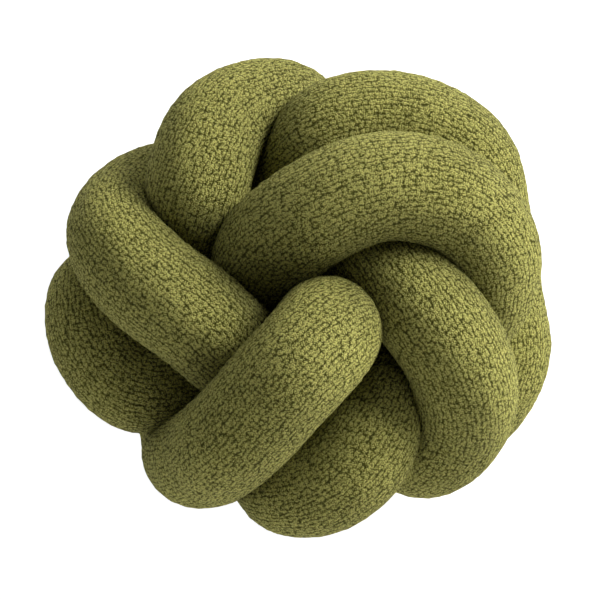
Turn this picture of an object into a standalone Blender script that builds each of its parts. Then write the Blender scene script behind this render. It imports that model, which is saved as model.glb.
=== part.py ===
"""A knot cushion: one stuffed knit tube, closed on itself and tied into a ball that lies on its back.

The tube follows a closed route. ROUTE holds the strands of the knot in the order in which the tube
runs through them. A strand that shows is a list of the places that its middle line passes. An
unseen stretch runs straight in plan from one such strand to the next, at the back or inside. A
smooth curve through the places is then settled: strands that press into each other are pushed
apart, and the tube bends no tighter than its filling allows. The skin is swept along the settled
route. It is flat where two strands press on each other and where the knot rests on the floor, at
z = 0.
"""

import math
from typing import NamedTuple

import bpy
import numpy as np

# Driving dimensions, in metres.
MILLIMETRE = 0.001
TUBE_DIAMETER = 0.065
TIGHTEST_BEND = 0.031      # radius of the tube's middle line
SKIN_GAP = 0.001           # between the skins of two strands that press on each other
FLOOR_LEVEL = -0.112       # height of the floor below the knot's middle

# The skin's rings round the tube, and the points on each ring.
RINGS = 208
SIDES = 16

# How the route settles.
ROUTE_STEP = 0.0125        # metres between two points of the route
PRESSED_SHARE = 0.88       # least distance of two strands' middle lines, as a share of the diameter
NEAR_RUN = 0.020           # points nearer than this along the tube don't press on each other
SETTLE_ROUNDS = 700
EASING_ROUNDS = 250        # the strands reach their full width after these rounds
EASING_START = 0.6         # the share of their width that they start with
PUSH = 0.22                # share of an overlap that one round undoes
STRETCH_EVENLY = 0.25
BEND_EVENLY = 0.25
LENGTH_FOLLOWS = 0.01      # share by which the even step follows the route's own length
HOLD_IN_VIEW = 0.4         # pull back to the drawn route, level
HOLD_HEIGHT = 0.02         # pull back to the drawn route, upright
HOLD_WINDOW = 6            # points on each side among which the nearest drawn one is looked for
FLOOR_SHARE = 0.85         # least height of a middle line over the floor, in tube radii

# How the skin is pressed.
OWN_BEND_RUN = 0.040       # from here along the tube, a bend presses on itself
OTHER_STRAND_RUN = 0.080   # from here along the tube, it is another strand
FLAT_WITHIN = 1e-7         # points this near the floor lie on it
TINY = 1e-6

CURVE_STEPS = 24           # points of a smooth curve between two of the places that it goes through

FABRIC_COLOUR = (0.150, 0.170, 0.042, 1.0)
FABRIC_ROUGHNESS = 0.95


class Place(NamedTuple):
    """Where the tube's middle line passes, in millimetres from the knot's middle."""

    across: float
    up: float
    height: float
    hold: float = 1.0


class Unseen(NamedTuple):
    """A stretch behind the strands that show, straight in plan from the place before it to the next."""

    height: float
    places: int
    hold: float = 0.1


# Unseen stretches lie on the floor at the knot's back, or half a tube below its middle.
AT_THE_BACK = (FLOOR_LEVEL + TUBE_DIAMETER / 2) / MILLIMETRE
INSIDE = -TUBE_DIAMETER / 2 / MILLIMETRE

ROUTE = {
    "top left lobe": (
        Place(-66, 40, 22, 0.5),
        Place(-63, 77, 46),
        Place(-48, 112, 28),
        Place(-8, 122, -5),
    ),
    "down the back": (Unseen(AT_THE_BACK, 4),),
    "right lobe": (
        Place(108, -75, -50, 0.3),
        Place(133, -38, -30),
        Place(127, 2, -17, 0.6),
        Place(118, 48, 0, 0.8),
    ),
    "top right lobe": (
        Place(104, 91, 22),
        Place(60, 112, 32),
        Place(16, 103, 26),
        Place(-1, 72, 0, 0.8),
    ),
    "beneath the top left lobe": (Unseen(INSIDE, 2),),
    "left band": (
        Place(-92, 70, -14, 0.5),
        Place(-112, 45, 38),
        Place(-99, 17, 69),
        Place(-63, -10, 82),
        Place(-34, -32, 56, 0.3),
    ),
    "curl beneath the middle band": (Unseen(-INSIDE, 1, 0),),
    "middle band": (
        Place(16, -19, 84, 0.8),
        Place(-11, -50, 103),
        Place(-43, -85, 84),
        Place(-64, -97, 15),
    ),
    "up the back of the left lobe": (Unseen(AT_THE_BACK, 2),),
    "left lobe": (
        Place(-128, 5, 0, 0.4),
        Place(-128, -24, 12),
        Place(-98, -54, 22),
        Place(-44, -50, 8, 0.3),
    ),
    "bottom lobe": (
        Place(-26, -102, 24, 0.5),
        Place(6, -116, 46),
        Place(37, -94, 57),
        Place(44, -60, 34, 0.3),
    ),
    "up through the middle": (Unseen(INSIDE, 2, 0),),
    "great arc": (
        Place(-26, 18, 38, 0.6),
        Place(0, 47, 84),
        Place(48, 68, 98),
        Place(94, 59, 82),
        Place(117, 26, 56),
        Place(105, -7, 24, 0.8),
    ),
    "beneath the right band": (Unseen(INSIDE, 2, 0),),
    "right band": (
        Place(34, 31, 34, 0.5),
        Place(69, 2, 77),
        Place(96, -35, 79),
        Place(101, -70, 46),
        Place(77, -95, 5),
    ),
    "across the back": (Unseen(AT_THE_BACK, 3),),
}


def between(before, stretch, after):
    """The places of an unseen stretch, evenly spaced from the place before it to the one after."""
    shares = [(count + 1) / (stretch.places + 1) for count in range(stretch.places)]
    return [
        Place(
            before.across + share * (after.across - before.across),
            before.up + share * (after.up - before.up),
            stretch.height,
            stretch.hold,
        )
        for share in shares
    ]


def route_rows():
    """A row for each place of all strands in turn: three sizes in metres, and its hold."""
    drawn = [place for strand in ROUTE.values() for place in strand]
    places = []
    for index, place in enumerate(drawn):
        if isinstance(place, Unseen):
            places += between(drawn[index - 1], place, drawn[(index + 1) % len(drawn)])
        else:
            places.append(place)
    rows = np.array(places)
    rows[:, :3] *= MILLIMETRE
    return rows

def through(rows):
    """Points of a closed, smooth curve through the rows, with all of the rows' columns."""
    own = rows
    before = np.roll(own, 1, axis=0)
    after = np.roll(own, -1, axis=0)
    beyond = np.roll(own, -2, axis=0)
    share = (np.arange(CURVE_STEPS) / CURVE_STEPS)[None, :, None]
    before, own, after, beyond = (side[:, None, :] for side in (before, own, after, beyond))
    cubic = 3 * (own - after) + beyond - before
    square = 2 * before - 5 * own + 4 * after - beyond
    curve = own + 0.5 * share * (after - before + share * (square + share * cubic))
    return curve.reshape(-1, curve.shape[-1])


def length_along(curve):
    """How far along the closed curve each point is, and last the whole length."""
    ring = np.vstack([curve, curve[:1]])[:, :3]
    return np.concatenate([[0.0], np.cumsum(np.linalg.norm(np.diff(ring, axis=0), axis=1))])


def evenly(curve, count):
    """That many points of the closed curve, an even step apart."""
    run = length_along(curve)
    places = np.arange(count) * run[-1] / count
    ring = np.vstack([curve, curve[:1]])
    return np.stack([np.interp(places, run, column) for column in ring.T], axis=1)


def least_distance(run):
    """How near two points of the route may come, by the length of tube between them."""
    bend = 2 * TIGHTEST_BEND * np.sin(np.minimum(run / (2 * TIGHTEST_BEND), math.pi / 2))
    pressed = PRESSED_SHARE * TUBE_DIAMETER
    return np.where(run < NEAR_RUN, 0.0, np.minimum(bend, pressed))


def held(route, drawn, hold):
    """How far each point is from the drawn route, with the nearest place on it found close by."""
    index = np.arange(len(route))
    near = (index[:, None] + np.arange(-HOLD_WINDOW, HOLD_WINDOW + 1)) % len(route)
    away = drawn[near] - route[:, None]
    best = np.linalg.norm(away[..., :2], axis=2).argmin(axis=1)
    return away[index, best] * hold[near[index, best]][:, None]


def settle(rows):
    """The route on which the strands lie side by side, from the drawn rows."""
    curve = through(rows)
    drawn = evenly(curve, round(length_along(curve)[-1] / ROUTE_STEP))
    hold = drawn[:, 3]
    drawn = drawn[:, :3]
    route = drawn.copy()
    index = np.arange(len(route))
    run = np.abs(index[:, None] - index[None, :])
    run = np.minimum(run, len(route) - run) * ROUTE_STEP
    need = least_distance(run)
    step = ROUTE_STEP
    lowest = FLOOR_LEVEL + FLOOR_SHARE * TUBE_DIAMETER / 2
    for done in range(SETTLE_ROUNDS):
        width = min(1.0, EASING_START + (1 - EASING_START) * (done + 1) / EASING_ROUNDS)
        away = route[:, None] - route[None, :]
        distance = np.maximum(np.linalg.norm(away, axis=2), TINY)
        overlap = np.clip(width * need - distance, 0.0, None)
        touching = np.maximum(1, (overlap > 0).sum(axis=1))
        push = (away * (overlap / distance)[..., None]).sum(axis=1)
        route += PUSH * push / np.sqrt(touching)[:, None]
        for _ in range(2):
            ahead = np.roll(route, -1, axis=0) - route
            length = np.linalg.norm(ahead, axis=1)[:, None]
            pull = ahead / length * (length - step) * STRETCH_EVENLY
            route += pull - np.roll(pull, 1, axis=0)
        bow = (np.roll(route, -1, axis=0) + np.roll(route, 1, axis=0)) / 2 - route
        route += BEND_EVENLY * (bow - (np.roll(bow, -1, axis=0) + np.roll(bow, 1, axis=0)) / 2)
        back = held(route, drawn, hold)
        route[:, :2] += HOLD_IN_VIEW * back[:, :2]
        route[:, 2] += HOLD_HEIGHT * back[:, 2]
        route[:, 2] += np.clip(lowest - route[:, 2], 0.0, None) / 2
        step += LENGTH_FOLLOWS * (length.mean() - step)
    return route


def turning_frames(route):
    """Two directions across the tube at each point, which turn as little as they can."""
    ahead = np.roll(route, -1, axis=0) - np.roll(route, 1, axis=0)
    ahead /= np.linalg.norm(ahead, axis=1)[:, None]
    count = len(route)
    side = np.zeros_like(route)
    first = np.cross(ahead[0], (0.0, 0.0, 1.0))
    side[0] = first / np.linalg.norm(first)
    for place in range(1, count):
        carried = side[place - 1] - ahead[place] * np.dot(side[place - 1], ahead[place])
        side[place] = carried / np.linalg.norm(carried)
    up = np.cross(ahead, side)
    end = side[-1] - ahead[0] * np.dot(side[-1], ahead[0])
    twist = math.atan2(np.dot(end, up[0]), np.dot(end, side[0]))
    angle = -twist * np.arange(count) / count
    turned = np.cos(angle)[:, None] * side + np.sin(angle)[:, None] * up
    return turned, np.cross(ahead, turned)


def skin(route, rings, sides):
    """Rings of points round the route, pressed flat against the other strands and the floor."""
    middle = evenly(through(route), rings)
    side, up = turning_frames(middle)
    angle = 2 * math.pi * np.arange(sides) / sides
    outward = np.cos(angle)[None, :, None] * side[:, None] + np.sin(angle)[None, :, None] * up[:, None]
    radius = np.full((rings, sides), TUBE_DIAMETER / 2)
    index = np.arange(rings)
    step = np.linalg.norm(np.roll(middle, -1, axis=0) - middle, axis=1).mean()
    for ring in range(rings):
        run = np.abs(index - ring)
        run = np.minimum(run, rings - run) * step
        toward = middle - middle[ring]
        distance = np.linalg.norm(toward, axis=1)
        other = (run > OWN_BEND_RUN) & (distance < TUBE_DIAMETER + 2 * SKIN_GAP)
        if not other.any():
            continue
        gap = np.where(run[other] > OTHER_STRAND_RUN, SKIN_GAP, 0.0)
        facing = outward[ring] @ (toward[other] / distance[other][:, None]).T
        room = (distance[other] - gap) / 2 / np.maximum(facing, TINY)
        radius[ring] = np.minimum(radius[ring], room.min(axis=1))
    above_floor = middle[:, 2] - FLOOR_LEVEL
    radius = np.minimum(radius, above_floor[:, None] / np.maximum(-outward[..., 2], TINY))
    points = middle[:, None] + radius[..., None] * outward
    points[..., 2] -= FLOOR_LEVEL
    points[np.abs(points[..., 2]) < FLAT_WITHIN, 2] = 0.0
    return points


def on_the_origin(points):
    """The points moved level, so that their box is centred over the origin."""
    middle = (points.min(axis=(0, 1)) + points.max(axis=(0, 1))) / 2
    middle[2] = 0.0
    return points - middle


def tube_faces(rings, sides):
    """The quads between neighbouring rings, round the closed tube."""
    faces = []
    for ring in range(rings):
        start = ring * sides
        after = (ring + 1) % rings * sides
        for edge in range(sides):
            next_edge = (edge + 1) % sides
            faces.append((start + edge, start + next_edge, after + next_edge, after + edge))
    return faces


def fabric():
    """The knit's colour and roughness."""
    material = bpy.data.materials.new("pebbly knit")
    material.use_nodes = True
    shader = material.node_tree.nodes["Principled BSDF"]
    shader.inputs["Base Color"].default_value = FABRIC_COLOUR
    shader.inputs["Roughness"].default_value = FABRIC_ROUGHNESS
    shader.inputs["Metallic"].default_value = 0.0
    return material


def knotted_tube():
    """The one stuffed tube, as a closed mesh."""
    points = on_the_origin(skin(settle(route_rows()), RINGS, SIDES))
    mesh = bpy.data.meshes.new("knotted_tube")
    mesh.from_pydata(points.reshape(-1, 3).tolist(), [], tube_faces(RINGS, SIDES))
    mesh.materials.append(fabric())
    mesh.shade_smooth()
    mesh.update()
    return bpy.data.objects.new("knotted_tube", mesh)


def main():
    for left_over in list(bpy.data.objects):
        bpy.data.objects.remove(left_over)
    parts = bpy.data.collections.new("knot cushion")
    bpy.context.scene.collection.children.link(parts)
    parts.objects.link(knotted_tube())


main()
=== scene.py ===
"""The knot cushion, dressed: the stuffed tube with its pebbly knit, on a pale floor under soft light.

It is laid out as a Blender add-on and run as a script.
"""

import math
from typing import NamedTuple

import bpy
import numpy as np
from bpy.props import FloatProperty, FloatVectorProperty, IntProperty, PointerProperty
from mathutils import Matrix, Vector


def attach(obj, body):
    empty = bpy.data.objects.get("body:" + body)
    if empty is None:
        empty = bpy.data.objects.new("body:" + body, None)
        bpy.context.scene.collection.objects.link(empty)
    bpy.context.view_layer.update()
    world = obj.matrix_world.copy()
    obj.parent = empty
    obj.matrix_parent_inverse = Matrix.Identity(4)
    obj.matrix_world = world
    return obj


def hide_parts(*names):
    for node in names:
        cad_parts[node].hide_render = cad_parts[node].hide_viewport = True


bl_info = {
    "name": "Knot cushion",
    "version": (1, 0, 0),
    "blender": (4, 5, 0),
    "location": "3D View > Sidebar > Knot cushion",
    "description": "Builds a knot cushion from one stuffed knit tube, and the stage that it lies on",
    "category": "Add Mesh",
}

PHOTO_SIDE = 600           # pixels

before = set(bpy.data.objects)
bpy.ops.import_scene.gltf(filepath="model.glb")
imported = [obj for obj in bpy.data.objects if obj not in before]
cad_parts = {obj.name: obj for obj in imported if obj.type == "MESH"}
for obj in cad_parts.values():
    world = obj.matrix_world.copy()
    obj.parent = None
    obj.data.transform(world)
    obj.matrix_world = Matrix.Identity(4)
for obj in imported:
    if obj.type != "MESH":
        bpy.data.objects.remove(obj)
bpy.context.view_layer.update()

# The tube, as its maker stuffs and ties it, in metres.
MILLIMETRE = 0.001
TUBE_DIAMETER = 0.065
TIGHTEST_BEND = 0.031      # radius of the tube's middle line
FLOOR_LEVEL = -0.112       # height of the floor below the knot's middle

# How the route settles, as in the solid.
ROUTE_STEP = 0.0125        # metres between two points of the route
PRESSED_SHARE = 0.88       # least distance of two strands' middle lines, as a share of the diameter
NEAR_RUN = 0.020           # points nearer than this along the tube don't press on each other
SETTLE_ROUNDS = 700
EASING_ROUNDS = 250        # the strands reach their full width after these rounds
EASING_START = 0.6         # the share of their width that they start with
PUSH = 0.22                # share of an overlap that one round undoes
STRETCH_EVENLY = 0.25
BEND_EVENLY = 0.25
LENGTH_FOLLOWS = 0.01      # share by which the even step follows the route's own length
HOLD_IN_VIEW = 0.4         # pull back to the drawn route, level
HOLD_HEIGHT = 0.02         # pull back to the drawn route, upright
HOLD_WINDOW = 6            # points on each side among which the nearest drawn one is looked for
FLOOR_SHARE = 0.85         # least height of a middle line over the floor, in tube radii
OWN_BEND_RUN = 0.040       # from here along the tube, strands press on each other
TINY = 1e-6
CURVE_STEPS = 24           # points of a smooth curve between two of the places that it goes through

# The knit skin.
RINGS = 1420
ROWS_ROUND = 70            # rows of knit round the tube
ROW_WIDTH = math.pi * TUBE_DIAMETER / ROWS_ROUND
SEAM_EVENED = 0.02         # share of the tube over which the knit's turning is evened out
PILE = 0.0005              # how far the knit's pile stands beyond the stuffed tube's own skin
SKIN_EVENED = 2            # rings and rows over which the pressed skin is evened out
PEBBLES_FROM = 0.9         # share of the full radius from which the pebbles start to stand out
PEBBLES_OVER = 0.1         # and over which they grow to their full height

# The knit's beads. Lengths are in stitches along the row and in rows across it.
ROW_SHIFT = 17.0           # how far two rows may be shifted against each other
BEAD_STRAY = 0.45          # how far a bead strays along its row
BEAD_STRAY_ACROSS = 0.36
BEAD_TOP = 0.85            # height of the lowest bead
BEAD_TOP_VARIES = 0.3      # how much higher the highest bead is
BEAD_FALL = -1.9           # how fast a bead falls off along its row
BEAD_FALL_ACROSS = -2.8
BEAD_BLEND = 0.15          # how softly two beads run into each other
YARN_SCALE = 1250.0        # how fine the yarn's twist is
NUDGE_SCALE = 300.0        # how fine the stitches' unevenness is
GAP_SHADE_STARTS = 0.65          # height below which the gaps get painted shadow
GAP_SHADE_FULL = 0.05            # height at which the painted shadow in the gaps is darkest
YARN_SHADE = 2.5           # how much the yarn's twist shows in the colour
WASH_SCALE = 18.0          # how large the paler and darker places of the knit are
WASH_SHADE = 0.5
TONE_DARK = 0.5            # level of painted relief shade, grain and wash that has the yarn's own colour
TONE_PALE = 1.4            # level of painted relief shade, grain and wash that has the tips' colour, as painted highlight

# The lights, in metres from the middle of the floor.
KEY_PLACE = (1.7, 1.3, 0.9)
KEY_SIZE = 1.2
FILL_PLACE = (0.9, -1.5, 1.2)
FILL_SIZE = 1.5
SIDE_LIGHT_ENDS = 0.65     # height of the way, from 0 level to 1 straight up, where the side light ends

NODE_SPACING = 180         # in the node editor


class Place(NamedTuple):
    """Where the tube's middle line passes, in millimetres from the knot's middle."""

    across: float
    up: float
    height: float
    hold: float = 1.0


class Unseen(NamedTuple):
    """A stretch behind the strands that show, straight in plan from the place before it to the next."""

    height: float
    places: int
    hold: float = 0.1


# Unseen stretches lie on the floor at the knot's back, or half a tube below or above its middle.
AT_THE_BACK = (FLOOR_LEVEL + TUBE_DIAMETER / 2) / MILLIMETRE
INSIDE = -TUBE_DIAMETER / 2 / MILLIMETRE

ROUTE = {
    "top left lobe": (
        Place(-66, 40, 22, 0.5),
        Place(-63, 77, 46),
        Place(-48, 112, 28),
        Place(-8, 122, -5),
    ),
    "down the back": (Unseen(AT_THE_BACK, 4),),
    "right lobe": (
        Place(108, -75, -50, 0.3),
        Place(133, -38, -30),
        Place(127, 2, -17, 0.6),
        Place(118, 48, 0, 0.8),
    ),
    "top right lobe": (
        Place(104, 91, 22),
        Place(60, 112, 32),
        Place(16, 103, 26),
        Place(-1, 72, 0, 0.8),
    ),
    "beneath the top left lobe": (Unseen(INSIDE, 2),),
    "left band": (
        Place(-92, 70, -14, 0.5),
        Place(-112, 45, 38),
        Place(-99, 17, 69),
        Place(-63, -10, 82),
        Place(-34, -32, 56, 0.3),
    ),
    "curl beneath the middle band": (Unseen(-INSIDE, 1, 0),),
    "middle band": (
        Place(16, -19, 84, 0.8),
        Place(-11, -50, 103),
        Place(-43, -85, 84),
        Place(-64, -97, 15),
    ),
    "up the back of the left lobe": (Unseen(AT_THE_BACK, 2),),
    "left lobe": (
        Place(-128, 5, 0, 0.4),
        Place(-128, -24, 12),
        Place(-98, -54, 22),
        Place(-44, -50, 8, 0.3),
    ),
    "bottom lobe": (
        Place(-26, -102, 24, 0.5),
        Place(6, -116, 46),
        Place(37, -94, 57),
        Place(44, -60, 34, 0.3),
    ),
    "up through the middle": (Unseen(INSIDE, 2, 0),),
    "great arc": (
        Place(-26, 18, 38, 0.6),
        Place(0, 47, 84),
        Place(48, 68, 98),
        Place(94, 59, 82),
        Place(117, 26, 56),
        Place(105, -7, 24, 0.8),
    ),
    "beneath the right band": (Unseen(INSIDE, 2, 0),),
    "right band": (
        Place(34, 31, 34, 0.5),
        Place(69, 2, 77),
        Place(96, -35, 79),
        Place(101, -70, 46),
        Place(77, -95, 5),
    ),
    "across the back": (Unseen(AT_THE_BACK, 3),),
}


def between(before, stretch, after):
    """The places of an unseen stretch, evenly spaced from the place before it to the one after."""
    shares = [(count + 1) / (stretch.places + 1) for count in range(stretch.places)]
    return [
        Place(
            before.across + share * (after.across - before.across),
            before.up + share * (after.up - before.up),
            stretch.height,
            stretch.hold,
        )
        for share in shares
    ]


def route_rows():
    """A row for each place of all strands in turn: three sizes in metres, and its hold."""
    drawn = [place for strand in ROUTE.values() for place in strand]
    places = []
    for index, place in enumerate(drawn):
        if isinstance(place, Unseen):
            places += between(drawn[index - 1], place, drawn[(index + 1) % len(drawn)])
        else:
            places.append(place)
    rows = np.array(places)
    rows[:, :3] *= MILLIMETRE
    return rows


def through(rows):
    """Points of a closed, smooth curve through the rows, with all of the rows' columns."""
    own = rows
    before = np.roll(own, 1, axis=0)
    after = np.roll(own, -1, axis=0)
    beyond = np.roll(own, -2, axis=0)
    share = (np.arange(CURVE_STEPS) / CURVE_STEPS)[None, :, None]
    before, own, after, beyond = (side[:, None, :] for side in (before, own, after, beyond))
    cubic = 3 * (own - after) + beyond - before
    square = 2 * before - 5 * own + 4 * after - beyond
    curve = own + 0.5 * share * (after - before + share * (square + share * cubic))
    return curve.reshape(-1, curve.shape[-1])


def length_along(curve):
    """How far along the closed curve each point is, and last the whole length."""
    ring = np.vstack([curve, curve[:1]])[:, :3]
    return np.concatenate([[0.0], np.cumsum(np.linalg.norm(np.diff(ring, axis=0), axis=1))])


def evenly(curve, count):
    """That many points of the closed curve, an even step apart."""
    run = length_along(curve)
    places = np.arange(count) * run[-1] / count
    ring = np.vstack([curve, curve[:1]])
    return np.stack([np.interp(places, run, column) for column in ring.T], axis=1)


def least_distance(run):
    """How near two points of the route may come, by the length of tube between them."""
    bend = 2 * TIGHTEST_BEND * np.sin(np.minimum(run / (2 * TIGHTEST_BEND), math.pi / 2))
    pressed = PRESSED_SHARE * TUBE_DIAMETER
    return np.where(run < NEAR_RUN, 0.0, np.minimum(bend, pressed))


def held(route, drawn, hold):
    """How far each point is from the drawn route, with the nearest place on it found close by."""
    index = np.arange(len(route))
    near = (index[:, None] + np.arange(-HOLD_WINDOW, HOLD_WINDOW + 1)) % len(route)
    away = drawn[near] - route[:, None]
    best = np.linalg.norm(away[..., :2], axis=2).argmin(axis=1)
    return away[index, best] * hold[near[index, best]][:, None]


def settle(rows):
    """The route on which the strands lie side by side, from the drawn rows."""
    curve = through(rows)
    drawn = evenly(curve, round(length_along(curve)[-1] / ROUTE_STEP))
    hold = drawn[:, 3]
    drawn = drawn[:, :3]
    route = drawn.copy()
    index = np.arange(len(route))
    run = np.abs(index[:, None] - index[None, :])
    run = np.minimum(run, len(route) - run) * ROUTE_STEP
    need = least_distance(run)
    step = ROUTE_STEP
    lowest = FLOOR_LEVEL + FLOOR_SHARE * TUBE_DIAMETER / 2
    for done in range(SETTLE_ROUNDS):
        width = min(1.0, EASING_START + (1 - EASING_START) * (done + 1) / EASING_ROUNDS)
        away = route[:, None] - route[None, :]
        distance = np.maximum(np.linalg.norm(away, axis=2), TINY)
        overlap = np.clip(width * need - distance, 0.0, None)
        touching = np.maximum(1, (overlap > 0).sum(axis=1))
        push = (away * (overlap / distance)[..., None]).sum(axis=1)
        route += PUSH * push / np.sqrt(touching)[:, None]
        for _ in range(2):
            ahead = np.roll(route, -1, axis=0) - route
            length = np.linalg.norm(ahead, axis=1)[:, None]
            pull = ahead / length * (length - step) * STRETCH_EVENLY
            route += pull - np.roll(pull, 1, axis=0)
        bow = (np.roll(route, -1, axis=0) + np.roll(route, 1, axis=0)) / 2 - route
        route += BEND_EVENLY * (bow - (np.roll(bow, -1, axis=0) + np.roll(bow, 1, axis=0)) / 2)
        back = held(route, drawn, hold)
        route[:, :2] += HOLD_IN_VIEW * back[:, :2]
        route[:, 2] += HOLD_HEIGHT * back[:, 2]
        route[:, 2] += np.clip(lowest - route[:, 2], 0.0, None) / 2
        step += LENGTH_FOLLOWS * (length.mean() - step)
    return route


def turning_frames(route):
    """Two directions across the tube at each point, which turn as little as they can."""
    ahead = np.roll(route, -1, axis=0) - np.roll(route, 1, axis=0)
    ahead /= np.linalg.norm(ahead, axis=1)[:, None]
    count = len(route)
    side = np.zeros_like(route)
    first = np.cross(ahead[0], (0.0, 0.0, 1.0))
    side[0] = first / np.linalg.norm(first)
    for place in range(1, count):
        carried = side[place - 1] - ahead[place] * np.dot(side[place - 1], ahead[place])
        side[place] = carried / np.linalg.norm(carried)
    up = np.cross(ahead, side)
    end = side[-1] - ahead[0] * np.dot(side[-1], ahead[0])
    twist = math.atan2(np.dot(end, up[0]), np.dot(end, side[0]))
    angle = -twist * np.arange(count) / count
    turned = np.cos(angle)[:, None] * side + np.sin(angle)[:, None] * up
    return turned, np.cross(ahead, turned)


def blurred(field, along, round_it):
    """The field on the rings, evened out over some rings along the tube and some points round it."""
    for axis, reach in ((0, along), (1, round_it)):
        weights = np.hanning(2 * reach + 3)[1:-1]
        shifts = range(-reach, reach + 1)
        field = sum(w * np.roll(field, shift, axis=axis) for w, shift in zip(weights, shifts)) / weights.sum()
    return field


def seam_turn(middle, side, up):
    """The angle on each ring that faces the knot's middle, where the knit's rows are joined."""
    inward = -middle
    across = (inward * side).sum(axis=1)
    upward = (inward * up).sum(axis=1)
    facing = np.stack([across, upward], axis=1)
    facing = blurred(facing, round(SEAM_EVENED * len(middle)), 0)
    return np.arctan2(facing[:, 1], facing[:, 0])


def skin_radius(middle, outward):
    """How far the skin lies from the middle line, pressed by the other strands and the floor."""
    rings, sides = outward.shape[:2]
    radius = np.full((rings, sides), TUBE_DIAMETER / 2 + PILE)
    index = np.arange(rings)
    step = np.linalg.norm(np.roll(middle, -1, axis=0) - middle, axis=1).mean()
    for ring in range(rings):
        run = np.abs(index - ring)
        run = np.minimum(run, rings - run) * step
        toward = middle - middle[ring]
        distance = np.linalg.norm(toward, axis=1)
        other = (run > OWN_BEND_RUN) & (distance < TUBE_DIAMETER + 2 * PILE)
        if not other.any():
            continue
        facing = outward[ring] @ (toward[other] / distance[other][:, None]).T
        room = distance[other] / 2 / np.maximum(facing, TINY)
        radius[ring] = np.minimum(radius[ring], room.min(axis=1))
    above_floor = middle[:, 2] - FLOOR_LEVEL
    return np.minimum(radius, above_floor[:, None] / np.maximum(-outward[..., 2], TINY))


def pebbles(seed):
    """A lumpy field on the rings, from -1 to 1, whose lumps are about as large as the knit's pebbles."""
    random = np.random.default_rng(seed)
    field = random.normal(size=(RINGS, ROWS_ROUND))
    return np.clip(field / 2, -1.0, 1.0)


def knotted_skin(settings):
    """Rings of points on the knit skin, and the knot's middle in the part's own frame."""
    middle = evenly(through(settle(route_rows())), RINGS)
    middle = np.roll(middle, -np.linalg.norm(middle, axis=1).argmin(), axis=0)
    side, up = turning_frames(middle)
    stray = settings.row_stray * pebbles(settings.seed + 1)
    rows = np.arange(ROWS_ROUND)[None, :] + stray
    angle = seam_turn(middle, side, up)[:, None] + 2 * math.pi * rows / ROWS_ROUND
    outward = np.cos(angle)[..., None] * side[:, None] + np.sin(angle)[..., None] * up[:, None]
    pressed = skin_radius(middle, outward)
    radius = np.minimum(blurred(pressed, SKIN_EVENED, SKIN_EVENED), pressed)
    free = np.clip((pressed / (TUBE_DIAMETER / 2) - PEBBLES_FROM) / PEBBLES_OVER, 0.0, 1.0)
    radius = radius + free * settings.pebble_relief * pebbles(settings.seed)
    points = middle[:, None] + radius[..., None] * outward
    centre = (points.min(axis=(0, 1)) + points.max(axis=(0, 1))) / 2
    centre[2] = FLOOR_LEVEL
    points = points - centre
    points[..., 2] = np.maximum(points[..., 2], 0.0)
    return points, -centre


def tube_mesh(name, points):
    """A closed mesh with a quad for each row of knit on each ring.

    Its UV maps run along each row, and the rows beside it, by the row's own length, so that the
    stitches are as long on the outside of a bend as inside it.
    """
    rings, rows = points.shape[:2]
    ring, row = np.meshgrid(np.arange(rings), np.arange(rows), indexing="ij")
    after, beside = (ring + 1) % rings, (row + 1) % rows
    corners = [(ring, row), (ring, beside), (after, beside), (after, row)]
    quads = np.stack([r * rows + e for r, e in corners], axis=-1).reshape(-1, 4)
    mesh = bpy.data.meshes.new(name)
    mesh.from_pydata(points.reshape(-1, 3).tolist(), [], quads.tolist())
    line = (points + np.roll(points, -1, axis=1)) / 2
    step = np.linalg.norm(np.roll(line, -1, axis=0) - line, axis=2)
    start = np.vstack([np.zeros((1, rows)), np.cumsum(step, axis=0)])
    along = np.stack([start[:-1], start[:-1], start[1:], start[1:]], axis=-1)
    across = np.stack([row, row + 1, row + 1, row], axis=-1) * ROW_WIDTH
    beside = np.stack([np.roll(along, -1, axis=1), np.roll(along, 1, axis=1)], axis=-1)
    for name, map_points in (("knit rows", np.stack([along, across], axis=-1)), ("rows beside", beside)):
        mesh.uv_layers.new(name=name).data.foreach_set("uv", map_points.reshape(-1))
    mesh.update()
    mesh.shade_smooth()
    return mesh


def sockets(group, way, kind, *names):
    """Named inputs or outputs of the group."""
    for name in names:
        group.interface.new_socket(name, in_out=way, socket_type="NodeSocket" + kind)


class Wiring:
    """Adds nodes to a tree and joins them up, each with its settings and inputs by name."""

    def __init__(self, tree):
        self.tree = tree
        self.column = 0

    def node(self, kind, inputs=None, **settings):
        made = self.tree.nodes.new("ShaderNode" + kind)
        made.location = (NODE_SPACING * self.column, 0)
        self.column += 1
        for name, value in settings.items():
            setattr(made, name, value)
        for name, value in (inputs or {}).items():
            if isinstance(value, bpy.types.NodeSocket):
                self.tree.links.new(value, made.inputs[name])
            else:
                made.inputs[name].default_value = value
        return made

    def maths(self, operation, *values):
        return self.node("Math", dict(enumerate(values)), operation=operation).outputs[0]


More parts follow.
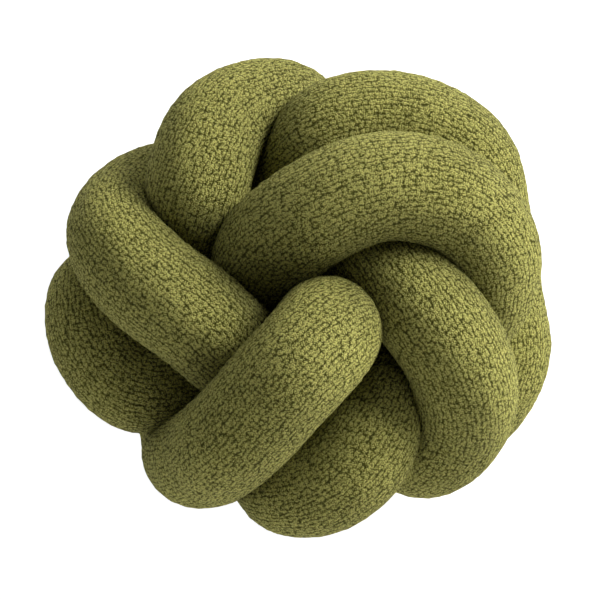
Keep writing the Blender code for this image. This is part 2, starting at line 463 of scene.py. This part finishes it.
def row_of_beads_group():
    """How high one row's beads stand at a place that may be beside the row."""
    group = bpy.data.node_groups.new("row of beads", "ShaderNodeTree")
    sockets(group, "INPUT", "Float", "Along", "Across", "Row")
    sockets(group, "OUTPUT", "Float", "Height")
    wire = Wiring(group)
    given = group.nodes.new("NodeGroupInput").outputs
    shift = wire.node("TexWhiteNoise", {"W": given["Row"]}, noise_dimensions="1D").outputs["Value"]
    along = wire.maths("MULTIPLY_ADD", shift, ROW_SHIFT, given["Along"])
    between = wire.maths("ROUND", along)
    heights = []
    for half in (-0.5, 0.5):
        bead = wire.maths("ADD", between, half)
        number = wire.node("CombineXYZ", {"X": bead, "Y": given["Row"]}).outputs["Vector"]
        own = wire.node("TexWhiteNoise", {"Vector": number}, noise_dimensions="2D").outputs
        stray = wire.node("SeparateXYZ", {"Vector": own["Color"]}).outputs
        lengthwise = wire.maths("SUBTRACT", along, bead)
        lengthwise = wire.maths("MULTIPLY_ADD", centred(wire, stray["X"]), BEAD_STRAY, lengthwise)
        sideways = wire.maths("MULTIPLY_ADD", centred(wire, stray["Y"]), BEAD_STRAY_ACROSS, given["Across"])
        top = wire.maths("MULTIPLY_ADD", own["Value"], BEAD_TOP_VARIES, BEAD_TOP)
        for off, fall in ((lengthwise, BEAD_FALL), (sideways, BEAD_FALL_ACROSS)):
            top = wire.maths("MULTIPLY_ADD", wire.maths("MULTIPLY", off, off), fall, top)
        heights.append(top)
    leave = group.nodes.new("NodeGroupOutput")
    group.links.new(wire.maths("SMOOTH_MAX", *heights, BEAD_BLEND), leave.inputs["Height"])
    return group


def pebbly_knit_group():
    """Height of a knit whose rows of stitches bead up into uneven pebbles, a mask for the painted shadow in
    the gaps between them, and the yarn's grain with painted shade that colours the pebbles' tops paler than
    their lower sides.
    """
    group = bpy.data.node_groups.new("pebbly knit", "ShaderNodeTree")
    sockets(group, "INPUT", "Vector", "Rows", "Beside", "Place")
    sockets(group, "INPUT", "Float", "Row Width", "Stitch Length", "Unevenness", "Yarn Roughness")
    sockets(group, "OUTPUT", "Float", "Height", "Painted Gap Shadow", "Grain And Painted Shade")
    wire = Wiring(group)
    given = group.nodes.new("NodeGroupInput").outputs
    yarn = {"Vector": given["Place"], "Scale": YARN_SCALE, "Detail": 2.0, "Roughness": 0.6}
    yarn = centred(wire, wire.node("TexNoise", yarn).outputs["Fac"])
    nudge = {"Vector": given["Place"], "Scale": NUDGE_SCALE, "Detail": 1.0}
    nudge = wire.node("TexNoise", nudge).outputs["Color"]
    nudge = wire.node("SeparateXYZ", {"Vector": nudge}).outputs
    way = wire.node("SeparateXYZ", {"Vector": given["Rows"]}).outputs
    beside = wire.node("SeparateXYZ", {"Vector": given["Beside"]}).outputs
    across = wire.maths("DIVIDE", way["Y"], given["Row Width"])
    row = wire.maths("FLOOR", across)
    across = wire.maths("SUBTRACT", wire.maths("SUBTRACT", across, row), 0.5)
    across = wire.maths("MULTIPLY_ADD", centred(wire, nudge["Y"]), given["Unevenness"], across)
    beads = row_of_beads_group()
    height = None
    for rows_off, length in ((0.0, way["X"]), (1.0, beside["X"]), (-1.0, beside["Y"])):
        along = wire.maths("DIVIDE", length, given["Stitch Length"])
        along = wire.maths("MULTIPLY_ADD", centred(wire, nudge["X"]), given["Unevenness"], along)
        inputs = {
            "Along": along,
            "Across": wire.maths("SUBTRACT", across, rows_off),
            "Row": wire.maths("ADD", row, rows_off),
        }
        found = wire.node("Group", inputs, node_tree=beads).outputs["Height"]
        height = found if height is None else wire.maths("SMOOTH_MAX", height, found, BEAD_BLEND)
    height = wire.maths("MULTIPLY_ADD", yarn, given["Yarn Roughness"], height)
    # Painted shadow: a mask that is full in the gaps between the pebbles, where the knit is lowest.
    gaps = wire.node(
        "MapRange",
        {"Value": height, "From Min": GAP_SHADE_STARTS, "From Max": GAP_SHADE_FULL},
        interpolation_type="SMOOTHSTEP",
    ).outputs["Result"]
    # Painted shade with the yarn's grain: higher places on the pebbles come out paler, lower ones darker.
    shade = wire.maths("MULTIPLY_ADD", yarn, YARN_SHADE, height)
    leave = group.nodes.new("NodeGroupOutput")
    for name, value in (("Height", height), ("Painted Gap Shadow", gaps), ("Grain And Painted Shade", shade)):
        group.links.new(value, leave.inputs[name])
    return group


def centred(wire, value):
    """The value, from 0 to 1, moved to lie about zero."""
    return wire.maths("SUBTRACT", value, 0.5)


def opaque(colour):
    """The colour as a shader takes it."""
    return tuple(colour) + (1.0,)


def mixed(wire, share, first, second):
    """The first colour, with that share of the second one."""
    return wire.node("Mix", {0: share, 6: first, 7: second}, data_type="RGBA").outputs[2]


def knit_material(settings):
    """The olive green knit: pebbles in rows, with painted shadow darkening the gaps between them and painted
    highlight on their tops.
    """
    material = bpy.data.materials.new("pebbly knit")
    material.use_nodes = True
    tree = material.node_tree
    tree.nodes.clear()
    wire = Wiring(tree)
    place = wire.node("TexCoord").outputs["Object"]
    inputs = {
        "Rows": wire.node("UVMap", uv_map="knit rows").outputs["UV"],
        "Beside": wire.node("UVMap", uv_map="rows beside").outputs["UV"],
        "Place": place,
        "Row Width": ROW_WIDTH,
        "Stitch Length": settings.stitch_length,
        "Unevenness": settings.unevenness,
        "Yarn Roughness": settings.yarn_roughness,
    }
    knit = wire.node("Group", inputs, node_tree=pebbly_knit_group()).outputs
    wash = wire.node("TexNoise", {"Vector": place, "Scale": WASH_SCALE, "Detail": 2.0}).outputs["Fac"]
    # Painted highlight and shade: the pebbles' tops are coloured paler and their lower sides darker by their
    # height, along with the yarn's grain and a random wash.
    painted_shade_grain_and_wash = wire.maths("MULTIPLY_ADD", wash, WASH_SHADE, knit["Grain And Painted Shade"])
    painted_shade_grain_and_wash = wire.node("MapRange", {"Value": painted_shade_grain_and_wash, "From Min": TONE_DARK, "From Max": TONE_PALE})
    # Painted shadow: the gaps between the pebbles are darkened towards the gap colour.
    painted_gap_shadow = wire.maths("MULTIPLY", knit["Painted Gap Shadow"], settings.gap_shade_strength)
    colour = mixed(wire, painted_shade_grain_and_wash.outputs["Result"], opaque(settings.yarn_and_shade_colour), opaque(settings.tip_and_highlight_colour))
    colour = mixed(wire, painted_gap_shadow, colour, opaque(settings.gap_shade_colour))
    bump = {"Height": knit["Height"], "Strength": 1.0, "Distance": settings.pebble_height}
    shader = wire.node("BsdfPrincipled", {"Normal": wire.node("Bump", bump).outputs["Normal"]})
    tree.links.new(colour, shader.inputs["Base Color"])
    shader.inputs["Roughness"].default_value = 0.95
    shader.inputs["Specular IOR Level"].default_value = 0.1
    shader.inputs["Sheen Weight"].default_value = settings.fuzz
    shader.inputs["Sheen Roughness"].default_value = 0.5
    shader.inputs["Sheen Tint"].default_value = (0.8, 0.78, 0.35, 1.0)
    leave = wire.node("OutputMaterial")
    tree.links.new(shader.outputs["BSDF"], leave.inputs["Surface"])
    return material


class KnotTubeSettings(bpy.types.PropertyGroup):
    """The stuffed tube and its skin."""

    pebble_relief: FloatProperty(
        name="Pebble relief",
        description="How far the knit's lumps stand in or out of the skin",
        default=0.0005,
        unit="LENGTH",
        subtype="DISTANCE",
    )
    row_stray: FloatProperty(name="Row stray", description="How far the rows wander, in rows", default=0.3)
    fill: FloatProperty(name="Fill", description="From 0, slack, to 1, full and tight", default=0.9)
    seed: IntProperty(name="Seed", description="Which lumps the skin has", default=3)


class KnotKnitSettings(bpy.types.PropertyGroup):
    """The knit's stitches and colours."""

    stitch_length: FloatProperty(
        name="Stitch length",
        description="From one stitch to the next in its row",
        default=0.0035,
        unit="LENGTH",
        subtype="DISTANCE",
    )
    pebble_height: FloatProperty(
        name="Pebble height",
        description="From the gaps between the pebbles to their tops",
        default=0.0040,
        unit="LENGTH",
        subtype="DISTANCE",
    )
    unevenness: FloatProperty(name="Unevenness", description="How uneven the stitches are", default=0.5)
    yarn_roughness: FloatProperty(
        name="Yarn roughness", description="How rough the yarn's twist is", default=3.0
    )
    # Painted shadow: how far the gaps between the pebbles are darkened.
    gap_shade_strength: FloatProperty(name="Gap darkness", description="How dark the gaps are", default=0.74)
    fuzz: FloatProperty(name="Fuzz", description="Sheen of the yarn's loose fibres", default=0.06)
    # The dark end: the yarn's own darker colour, and painted shade on the pebbles' lower sides.
    yarn_and_shade_colour: FloatVectorProperty(
        name="Yarn colour",
        description="The olive yarn",
        default=(0.22, 0.208, 0.032),
        subtype="COLOR",
        size=3,
    )
    # The pale end: the yarn's paler fibres, and painted highlight on the pebbles' tops.
    tip_and_highlight_colour: FloatVectorProperty(
        name="Tip colour",
        description="The pebbles' tops",
        default=(0.78, 0.745, 0.215),
        subtype="COLOR",
        size=3,
    )
    # Painted shadow: the colour that the gaps between the pebbles are darkened towards.
    gap_shade_colour: FloatVectorProperty(
        name="Gap colour",
        description="Deep between the pebbles",
        default=(0.045, 0.045, 0.005),
        subtype="COLOR",
        size=3,
    )


class KnotStageSettings(bpy.types.PropertyGroup):
    """The floor, the lights and the camera."""

    floor_side: FloatProperty(
        name="Floor side", description="Side of the floor", default=12.0, unit="LENGTH", subtype="DISTANCE"
    )
    floor_colour: FloatVectorProperty(
        name="Floor colour", description="The pale floor", default=(0.9, 0.9, 0.9), subtype="COLOR", size=3
    )
    floor_glow: FloatProperty(name="Floor glow", description="Light from beneath the pale floor", default=0.7)
    camera_height: FloatProperty(
        name="Camera height",
        description="From the knot's middle up to the camera",
        default=1.3,
        unit="LENGTH",
        subtype="DISTANCE",
    )
    pixel_size: FloatProperty(
        name="Pixel size",
        description="What one pixel shows at the knot's middle",
        default=0.00065,
        unit="LENGTH",
    )
    key_power: FloatProperty(
        name="Key light", description="Power of the main light", default=88.0, unit="POWER"
    )
    fill_power: FloatProperty(
        name="Fill light", description="Power of the fill light", default=17.0, unit="POWER"
    )
    side_strength: FloatProperty(
        name="Side light", description="Light from the sides all round", default=1.35
    )
    top_strength: FloatProperty(name="Top light", description="Light from straight above", default=0.07)


class MESH_OT_knot_tube(bpy.types.Operator):
    """Adds the stuffed knit tube, tied into its knot"""

    bl_idname = "mesh.knot_tube"
    bl_label = "Knotted tube"

    def execute(self, context):
        settings = context.scene.knot_tube
        points, middle = knotted_skin(settings)
        piece = bpy.data.objects.new("knit_tube", tube_mesh("knit_tube", points))
        context.scene.collection.objects.link(piece)
        piece.data.materials.append(knit_material(context.scene.knot_knit))
        context.scene["knot_middle"] = middle.tolist()
        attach(piece, "root")
        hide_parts("knotted_tube")
        return {"FINISHED"}


class MESH_OT_knot_stage(bpy.types.Operator):
    """Adds the pale floor, the soft lights and the camera over the cushion's face"""

    bl_idname = "mesh.knot_stage"
    bl_label = "Stage"

    def execute(self, context):
        settings = context.scene.knot_stage
        middle = np.array(context.scene["knot_middle"])
        bpy.ops.object.select_all(action="DESELECT")
        bpy.ops.mesh.primitive_plane_add(size=settings.floor_side)
        floor = context.object
        floor.name = "floor"
        floor.data.materials.append(floor_material(settings))
        add_lights(context, settings, middle)
        add_camera(context, settings, middle)
        return {"FINISHED"}


def floor_material(settings):
    """Plain pale paper."""
    material = bpy.data.materials.new("pale floor")
    material.use_nodes = True
    shader = material.node_tree.nodes["Principled BSDF"]
    shader.inputs["Base Color"].default_value = opaque(settings.floor_colour)
    shader.inputs["Roughness"].default_value = 0.9
    shader.inputs["Specular IOR Level"].default_value = 0.1
    shader.inputs["Emission Color"].default_value = (1.0, 1.0, 1.0, 1.0)
    shader.inputs["Emission Strength"].default_value = settings.floor_glow
    return material


def add_area_light(context, name, place, size, power, target):
    """A soft square light that faces the target."""
    light = bpy.data.lights.new(name, "AREA")
    light.size = size
    light.energy = power
    lamp = bpy.data.objects.new(name, light)
    lamp.location = place
    lamp.rotation_euler = (Vector(target) - Vector(place)).to_track_quat("-Z", "Y").to_euler()
    context.scene.collection.objects.link(lamp)


def add_lights(context, settings, middle):
    """A big soft light above the top right of the cushion, a weaker one, and light from all round."""
    add_area_light(context, "key light", KEY_PLACE, KEY_SIZE, settings.key_power, middle)
    add_area_light(context, "fill light", FILL_PLACE, FILL_SIZE, settings.fill_power, middle)
    context.scene.world = studio_world(settings)
    context.scene.view_settings.view_transform = "Standard"


def studio_world(settings):
    """White light from all round, stronger from the sides than from above."""
    world = bpy.data.worlds.new("studio")
    world.use_nodes = True
    tree = world.node_tree
    wire = Wiring(tree)
    way = wire.node("SeparateXYZ", {"Vector": wire.node("TexCoord").outputs["Generated"]}).outputs["Z"]
    reach = {"Value": way, "From Max": SIDE_LIGHT_ENDS}
    light = {"To Min": settings.side_strength, "To Max": settings.top_strength}
    strength = wire.node("MapRange", {**reach, **light}).outputs["Result"]
    sky = tree.nodes["Background"]
    sky.inputs["Color"].default_value = (1.0, 1.0, 1.0, 1.0)
    tree.links.new(strength, sky.inputs["Strength"])
    return world


def add_camera(context, settings, middle):
    """The camera straight above the knot's middle, with the photo's top towards +Y."""
    camera = bpy.data.cameras.new("camera")
    camera.sensor_width = 36.0
    camera.lens = camera.sensor_width * settings.camera_height / (PHOTO_SIDE * settings.pixel_size)
    view = bpy.data.objects.new("camera", camera)
    view.location = (middle[0], middle[1], middle[2] + settings.camera_height)
    context.scene.collection.objects.link(view)
    context.scene.camera = view


class VIEW3D_PT_knot_cushion(bpy.types.Panel):
    """Lists the cushion's pieces and their settings"""

    bl_label = "Knot cushion"
    bl_idname = "VIEW3D_PT_knot_cushion"
    bl_space_type = "VIEW_3D"
    bl_region_type = "UI"
    bl_category = "Knot cushion"

    def draw(self, context):
        scene = context.scene
        for group, operator in (
            (scene.knot_tube, MESH_OT_knot_tube),
            (scene.knot_knit, None),
            (scene.knot_stage, MESH_OT_knot_stage),
        ):
            box = self.layout.box()
            for name in type(group).__annotations__:
                box.prop(group, name)
            if operator:
                box.operator(operator.bl_idname)


CLASSES = (
    KnotTubeSettings,
    KnotKnitSettings,
    KnotStageSettings,
    MESH_OT_knot_tube,
    MESH_OT_knot_stage,
    VIEW3D_PT_knot_cushion,
)


def register():
    for cls in CLASSES:
        bpy.utils.register_class(cls)
    bpy.types.Scene.knot_tube = PointerProperty(type=KnotTubeSettings)
    bpy.types.Scene.knot_knit = PointerProperty(type=KnotKnitSettings)
    bpy.types.Scene.knot_stage = PointerProperty(type=KnotStageSettings)


def unregister():
    for name in ("knot_stage", "knot_knit", "knot_tube"):
        delattr(bpy.types.Scene, name)
    for cls in reversed(CLASSES):
        bpy.utils.unregister_class(cls)


def main():
    register()
    bpy.ops.mesh.knot_tube()
    bpy.ops.mesh.knot_stage()


if __name__ == "__main__":
    main()
